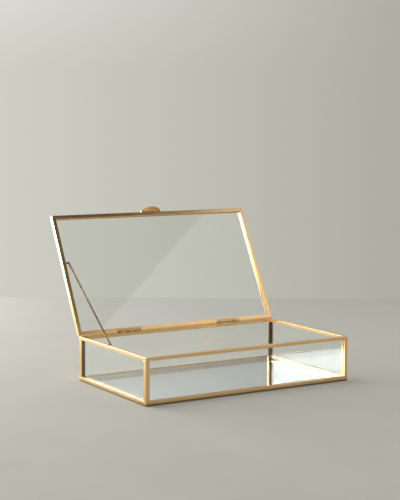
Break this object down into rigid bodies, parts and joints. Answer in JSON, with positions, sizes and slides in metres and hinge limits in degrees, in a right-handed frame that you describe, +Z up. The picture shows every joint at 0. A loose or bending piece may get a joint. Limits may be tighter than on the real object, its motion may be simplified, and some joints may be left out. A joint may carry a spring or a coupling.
{
  "type": "vanity trinket box",
  "caption": "Low rectangular glass trinket box framed in brass, with a mirror floor and a hinged glass lid held open by a fine link chain.",
  "frame": {"origin": "centre of the flat underside of the box body", "axes": "+X to the right along the width, +Y from the thumb lift towards the hinges, +Z up"},
  "size_m": [0.2556, 0.2164, 0.1816],
  "materials": {
    "rail_brass": "polished warm brass with fine brushing",
    "hinge_brass": "satin, a little darker than the rails",
    "chain_brass": "satin antique brass",
    "clear_glass": "clear polished glass",
    "mirror_glass": "silvered mirror",
    "backing": "dark felt"
  },
  "bodies": {
    "box": {"bottom_rail_front": "rail_brass", "bottom_rail_rear": "rail_brass", "bottom_rail_left": "rail_brass", "bottom_rail_right": "rail_brass", "post_front_left": "rail_brass", "post_front_right": "rail_brass", "post_rear_left": "rail_brass", "post_rear_right": "rail_brass", "top_rail_front": "rail_brass", "top_rail_rear": "rail_brass", "top_rail_left": "rail_brass", "top_rail_right": "rail_brass", "pane_front": "clear_glass", "pane_rear": "clear_glass", "pane_left": "clear_glass", "pane_right": "clear_glass", "mirror_plate": "mirror_glass", "base_backing": "backing", "body_chain_stud": "chain_brass", "hinge_body_leaf_left": "hinge_brass", "hinge_body_leaf_right": "hinge_brass", "hinge_pin_left": "hinge_brass", "hinge_pin_right": "hinge_brass"},
    "lid": {"hinge_lid_leaf_left": "hinge_brass", "hinge_lid_leaf_right": "hinge_brass", "lid_rail_front": "rail_brass", "lid_rail_rear": "rail_brass", "lid_rail_left": "rail_brass", "lid_rail_right": "rail_brass", "lid_pane": "clear_glass", "thumb_lift": "rail_brass", "lid_chain_stud": "chain_brass"},
    "chain_body_1": {"chain_upper_run": "chain_brass", "chain_ring_upper": "chain_brass"},
    "chain_body_2": {"chain_upper_bend": "chain_brass"},
    "chain_body_3": {"chain_middle_run": "chain_brass"},
    "chain_body_4": {"chain_lower_bend": "chain_brass"},
    "chain_body_5": {"chain_lower_run": "chain_brass", "chain_ring_lower": "chain_brass"}
  },
  "joints": [
    {"name": "lid_hinge", "type": "hinge", "parent": "box", "child": "lid", "pos_m": [0, 0.0715, 0.049], "axis": [1, 0, 0], "range_deg": [0, 118]},
    {"name": "chain_pivot_1", "type": "hinge", "parent": "lid", "child": "chain_body_1", "pos_m": [-0.1204, 0.11188, 0.12493], "axis": [1, 0, 0], "range_deg": [-109.25, 0]},
    {"name": "chain_pivot_2", "type": "hinge", "parent": "chain_body_1", "child": "chain_body_2", "pos_m": [-0.1204, 0.08355, 0.10278], "axis": [1, 0, 0], "range_deg": [0, 64.6]},
    {"name": "chain_pivot_3", "type": "hinge", "parent": "chain_body_2", "child": "chain_body_3", "pos_m": [-0.1204, 0.07307, 0.09458], "axis": [1, 0, 0], "range_deg": [0, 59.26]},
    {"name": "chain_pivot_4", "type": "hinge", "parent": "chain_body_3", "child": "chain_body_4", "pos_m": [-0.1204, 0.0518, 0.07795], "axis": [1, 0, 0], "range_deg": [0, 40.35]},
    {"name": "chain_pivot_5", "type": "hinge", "parent": "chain_body_4", "child": "chain_body_5", "pos_m": [-0.1204, 0.04132, 0.06975], "axis": [1, 0, 0], "range_deg": [0, 44.2]}
  ],
  "couplings": [
    {"joint": "chain_pivot_1", "follows": "lid_hinge", "ratio": -0.92575},
    {"joint": "chain_pivot_2", "follows": "lid_hinge", "ratio": 0.54734},
    {"joint": "chain_pivot_3", "follows": "lid_hinge", "ratio": 0.50204},
    {"joint": "chain_pivot_4", "follows": "lid_hinge", "ratio": 0.34186},
    {"joint": "chain_pivot_5", "follows": "lid_hinge", "ratio": 0.37443}
  ]
}
